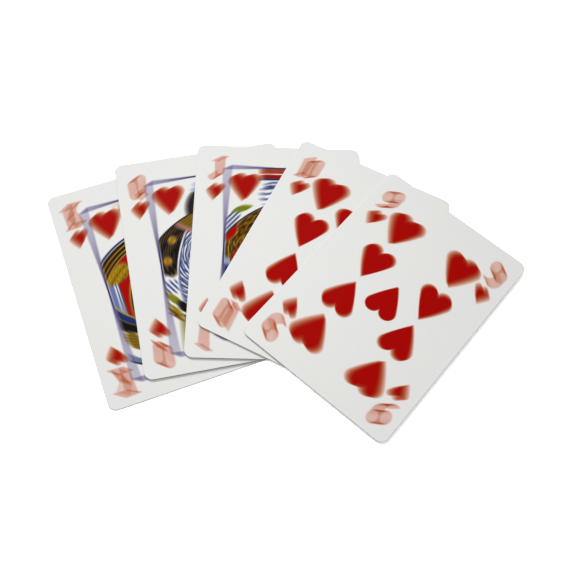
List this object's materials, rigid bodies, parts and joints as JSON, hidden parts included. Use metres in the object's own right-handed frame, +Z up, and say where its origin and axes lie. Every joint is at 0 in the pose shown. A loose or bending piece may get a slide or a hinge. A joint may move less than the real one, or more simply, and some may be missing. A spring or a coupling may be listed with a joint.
{
  "type": "fan of playing cards",
  "caption": "Open fan of overlapping poker-size playing cards with round corners, smeared heart pips and framed court figures; each card turns on the one beneath it.",
  "frame": {"origin": "middle of the fan's bounding box, on the table under the lowest card", "axes": "+Z up out of the card faces, +Y up the middle card, +X to the right across the fan as it is read"},
  "size_m": [0.1786, 0.1204, 0.0016],
  "materials": {
    "face_paper": "satin",
    "back_paper": "satin",
    "back_print": "satin",
    "glue_film": "matte",
    "red_ink": "satin",
    "gold_ink": "satin",
    "blue_ink": "satin",
    "black_ink": "satin"
  },
  "bodies": {
    "king_card": {"king_back_ply": "back_paper", "king_back_print": "back_print", "king_glue_film": "glue_film", "king_face_ply": "face_paper", "king_red_ink": "red_ink", "king_gold_ink": "gold_ink", "king_blue_ink": "blue_ink", "king_black_ink": "black_ink"},
    "queen_card": {"queen_back_ply": "back_paper", "queen_back_print": "back_print", "queen_glue_film": "glue_film", "queen_face_ply": "face_paper", "queen_red_ink": "red_ink", "queen_gold_ink": "gold_ink", "queen_blue_ink": "blue_ink", "queen_black_ink": "black_ink"},
    "jack_card": {"jack_back_ply": "back_paper", "jack_back_print": "back_print", "jack_glue_film": "glue_film", "jack_face_ply": "face_paper", "jack_red_ink": "red_ink", "jack_gold_ink": "gold_ink", "jack_blue_ink": "blue_ink", "jack_black_ink": "black_ink"},
    "ten_card": {"ten_back_ply": "back_paper", "ten_back_print": "back_print", "ten_glue_film": "glue_film", "ten_face_ply": "face_paper", "ten_red_ink": "red_ink"},
    "nine_card": {"nine_back_ply": "back_paper", "nine_back_print": "back_print", "nine_glue_film": "glue_film", "nine_face_ply": "face_paper", "nine_red_ink": "red_ink"}
  },
  "joints": [
    {"name": "queen_spread", "type": "hinge", "parent": "king_card", "child": "queen_card", "pos_m": [0.02076, -0.11622, 0], "axis": [0, 0, 1], "range_deg": [-15.1, 8.9]},
    {"name": "jack_spread", "type": "hinge", "parent": "queen_card", "child": "jack_card", "pos_m": [0.00007, -0.09356, 0], "axis": [0, 0, 1], "range_deg": [-20.5, 12.5]},
    {"name": "ten_spread", "type": "hinge", "parent": "jack_card", "child": "ten_card", "pos_m": [-0.00473, -0.03196, 0], "axis": [0, 0, 1], "range_deg": [-44.4, 25.6]},
    {"name": "nine_spread", "type": "hinge", "parent": "ten_card", "child": "nine_card", "pos_m": [-0.03239, -0.08668, 0], "axis": [0, 0, 1], "range_deg": [-19.1, 13.9]}
  ]
}
